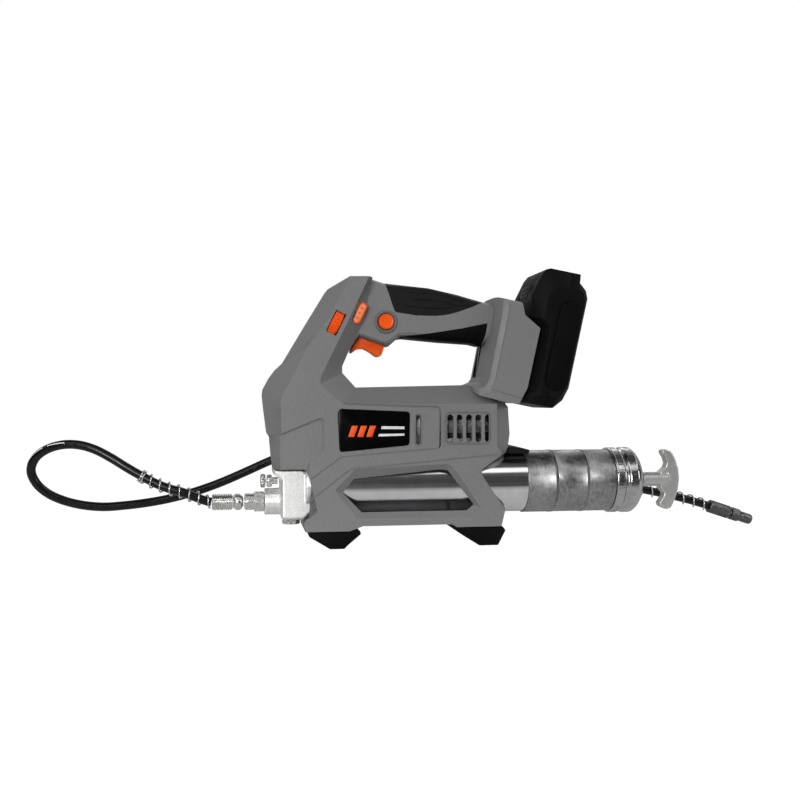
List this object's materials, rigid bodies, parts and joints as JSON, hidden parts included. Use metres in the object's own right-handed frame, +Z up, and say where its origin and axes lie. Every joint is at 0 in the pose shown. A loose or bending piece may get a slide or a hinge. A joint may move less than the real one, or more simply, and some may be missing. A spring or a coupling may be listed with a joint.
{
  "type": "cordless grease gun",
  "caption": "Battery grease gun: D-handle body with motor, gear train and plunger pump over a long cartridge barrel, sprung follower with T-handle, and a guarded hose with coupler.",
  "frame": {"origin": "on the floor under the middle of the tool without its hose, on its plane of symmetry", "axes": "+X along the barrel towards the T-handle, -X towards the pump head and hose outlet, +Y to the side the hose lies on, +Z up"},
  "size_m": [0.7018, 0.0884, 0.2513],
  "materials": {
    "grey_plastic": "fine spark-eroded texture",
    "black_plastic": "satin moulded",
    "black_rubber": "matte",
    "orange_plastic": "satin moulded",
    "steel": "turned",
    "zinc_plate": "bright zinc plate",
    "cast_aluminium": "sand cast",
    "chrome": "polished",
    "galvanised": "dull galvanised",
    "board": "lacquered",
    "black_steel": "black oxide"
  },
  "bodies": {
    "tool": {"housing_left": "grey_plastic", "housing_right": "grey_plastic", "housing_screw_1": "steel", "housing_screw_2": "steel", "housing_screw_3": "steel", "housing_screw_4": "steel", "housing_screw_5": "steel", "badge_plate": "black_plastic", "grip_top": "black_rubber", "grip_lower": "black_rubber", "front_foot": "black_rubber", "rear_foot": "black_rubber", "trigger_spring": "steel", "trigger_switch": "black_plastic", "circuit_board": "board", "motor_can": "zinc_plate", "ring_gear": "steel", "gearbox_case": "cast_aluminium", "pump_head": "cast_aluminium", "head_plug": "zinc_plate", "check_spring": "steel", "bleeder_body": "zinc_plate", "outlet_fitting": "zinc_plate", "barrel_saddle": "black_plastic", "terminal_block": "black_plastic", "hose": "black_rubber", "swivel_nut": "zinc_plate", "hose_ferrule": "zinc_plate", "front_guard_spring": "steel", "rear_guard_spring": "steel", "coupler_ferrule": "black_steel", "grease_coupler": "black_steel", "hose_clip": "black_plastic"},
    "trigger": {"trigger": "orange_plastic"},
    "lock_button": {"lock_button": "orange_plastic"},
    "speed_dial": {"speed_dial": "orange_plastic"},
    "level_button": {"level_button": "orange_plastic"},
    "rotor": {"rotor": "steel", "cooling_fan": "black_plastic"},
    "crank_carrier": {"crank_carrier": "steel"},
    "planet_1": {"planet_gear_1": "steel"},
    "planet_2": {"planet_gear_2": "steel"},
    "planet_3": {"planet_gear_3": "steel"},
    "plunger": {"pump_yoke": "steel", "pump_plunger": "steel"},
    "check_ball": {"check_ball": "steel"},
    "bleeder": {"bleeder_knob": "zinc_plate"},
    "barrel": {"barrel": "chrome", "barrel_sleeve": "galvanised", "end_cap": "zinc_plate", "follower_spring": "steel"},
    "follower": {"follower": "black_rubber"},
    "rod": {"plunger_rod": "steel", "pull_handle": "zinc_plate"},
    "battery": {"battery_front": "black_plastic", "battery_back": "black_plastic", "battery_bumper_left": "black_rubber", "battery_bumper_right": "black_rubber", "cell_pack": "steel"},
    "latch": {"battery_latch": "black_plastic"}
  },
  "joints": [
    {"name": "trigger_pull", "type": "slide", "parent": "tool", "child": "trigger", "axis": [0.3223, 0, 0.9466], "range_m": [0, 0.006], "stiffness_N_per_m": 600, "springref_m": -0.004, "deforming": ["trigger_spring"]},
    {"name": "lock_slide", "type": "slide", "parent": "tool", "child": "lock_button", "axis": [0, 1, 0], "range_m": [0, 0.005]},
    {"name": "dial_turn", "type": "hinge", "parent": "tool", "child": "speed_dial", "pos_m": [-0.1345, -0.0215, 0.1985], "axis": [0.8988, 0, -0.4384], "range_deg": [0, 270]},
    {"name": "level_press", "type": "slide", "parent": "tool", "child": "level_button", "axis": [0, 1, 0], "range_m": [0, 0.0012], "stiffness_N_per_m": 1500, "springref_m": -0.001},
    {"name": "motor_spin", "type": "hinge", "parent": "tool", "child": "rotor", "pos_m": [0, 0, 0.107], "axis": [1, 0, 0], "continuous": true},
    {"name": "carrier_spin", "type": "hinge", "parent": "tool", "child": "crank_carrier", "pos_m": [0, 0, 0.107], "axis": [1, 0, 0], "continuous": true},
    {"name": "planet_spin_1", "type": "hinge", "parent": "crank_carrier", "child": "planet_1", "pos_m": [-0.069, 0.01125, 0.107], "axis": [1, 0, 0], "continuous": true},
    {"name": "planet_spin_2", "type": "hinge", "parent": "crank_carrier", "child": "planet_2", "pos_m": [-0.069, -0.00562, 0.11674], "axis": [1, 0, 0], "continuous": true},
    {"name": "planet_spin_3", "type": "hinge", "parent": "crank_carrier", "child": "planet_3", "pos_m": [-0.069, -0.00562, 0.09726], "axis": [1, 0, 0], "continuous": true},
    {"name": "plunger_stroke", "type": "slide", "parent": "tool", "child": "plunger", "axis": [0, 0, 1], "range_m": [-0.008, 0.008]},
    {"name": "check_valve", "type": "slide", "parent": "tool", "child": "check_ball", "axis": [-1, 0, 0], "range_m": [0, 0.002], "stiffness_N_per_m": 300, "springref_m": -0.002, "deforming": ["check_spring"]},
    {"name": "bleeder_turn", "type": "hinge", "parent": "tool", "child": "bleeder", "pos_m": [-0.19, 0, 0.0585], "axis": [1, 0, 0], "range_deg": [0, 720]},
    {"name": "barrel_turn", "type": "hinge", "parent": "tool", "child": "barrel", "pos_m": [0, 0, 0.055], "axis": [1, 0, 0], "range_deg": [0, 720]},
    {"name": "follower_slide", "type": "slide", "parent": "barrel", "child": "follower", "axis": [1, 0, 0], "range_m": [0, 0.2], "stiffness_N_per_m": 100, "springref_m": -0.1, "deforming": ["follower_spring"]},
    {"name": "rod_turn", "type": "hinge", "parent": "follower", "child": "rod", "pos_m": [0.1, 0, 0.055], "axis": [1, 0, 0], "range_deg": [-90, 90]},
    {"name": "battery_slide", "type": "slide", "parent": "tool", "child": "battery", "axis": [0.2164, 0, 0.9763], "range_m": [0, 0.075]},
    {"name": "latch_press", "type": "slide", "parent": "battery", "child": "latch", "axis": [0.9763, 0, -0.2164], "range_m": [0, 0.003], "stiffness_N_per_m": 900, "springref_m": -0.003}
  ],
  "couplings": [
    {"joint": "carrier_spin", "follows": "motor_spin", "ratio": 0.2},
    {"joint": "planet_spin_1", "follows": "motor_spin", "ratio": -0.53333},
    {"joint": "planet_spin_2", "follows": "motor_spin", "ratio": -0.53333},
    {"joint": "planet_spin_3", "follows": "motor_spin", "ratio": -0.53333}
  ]
}
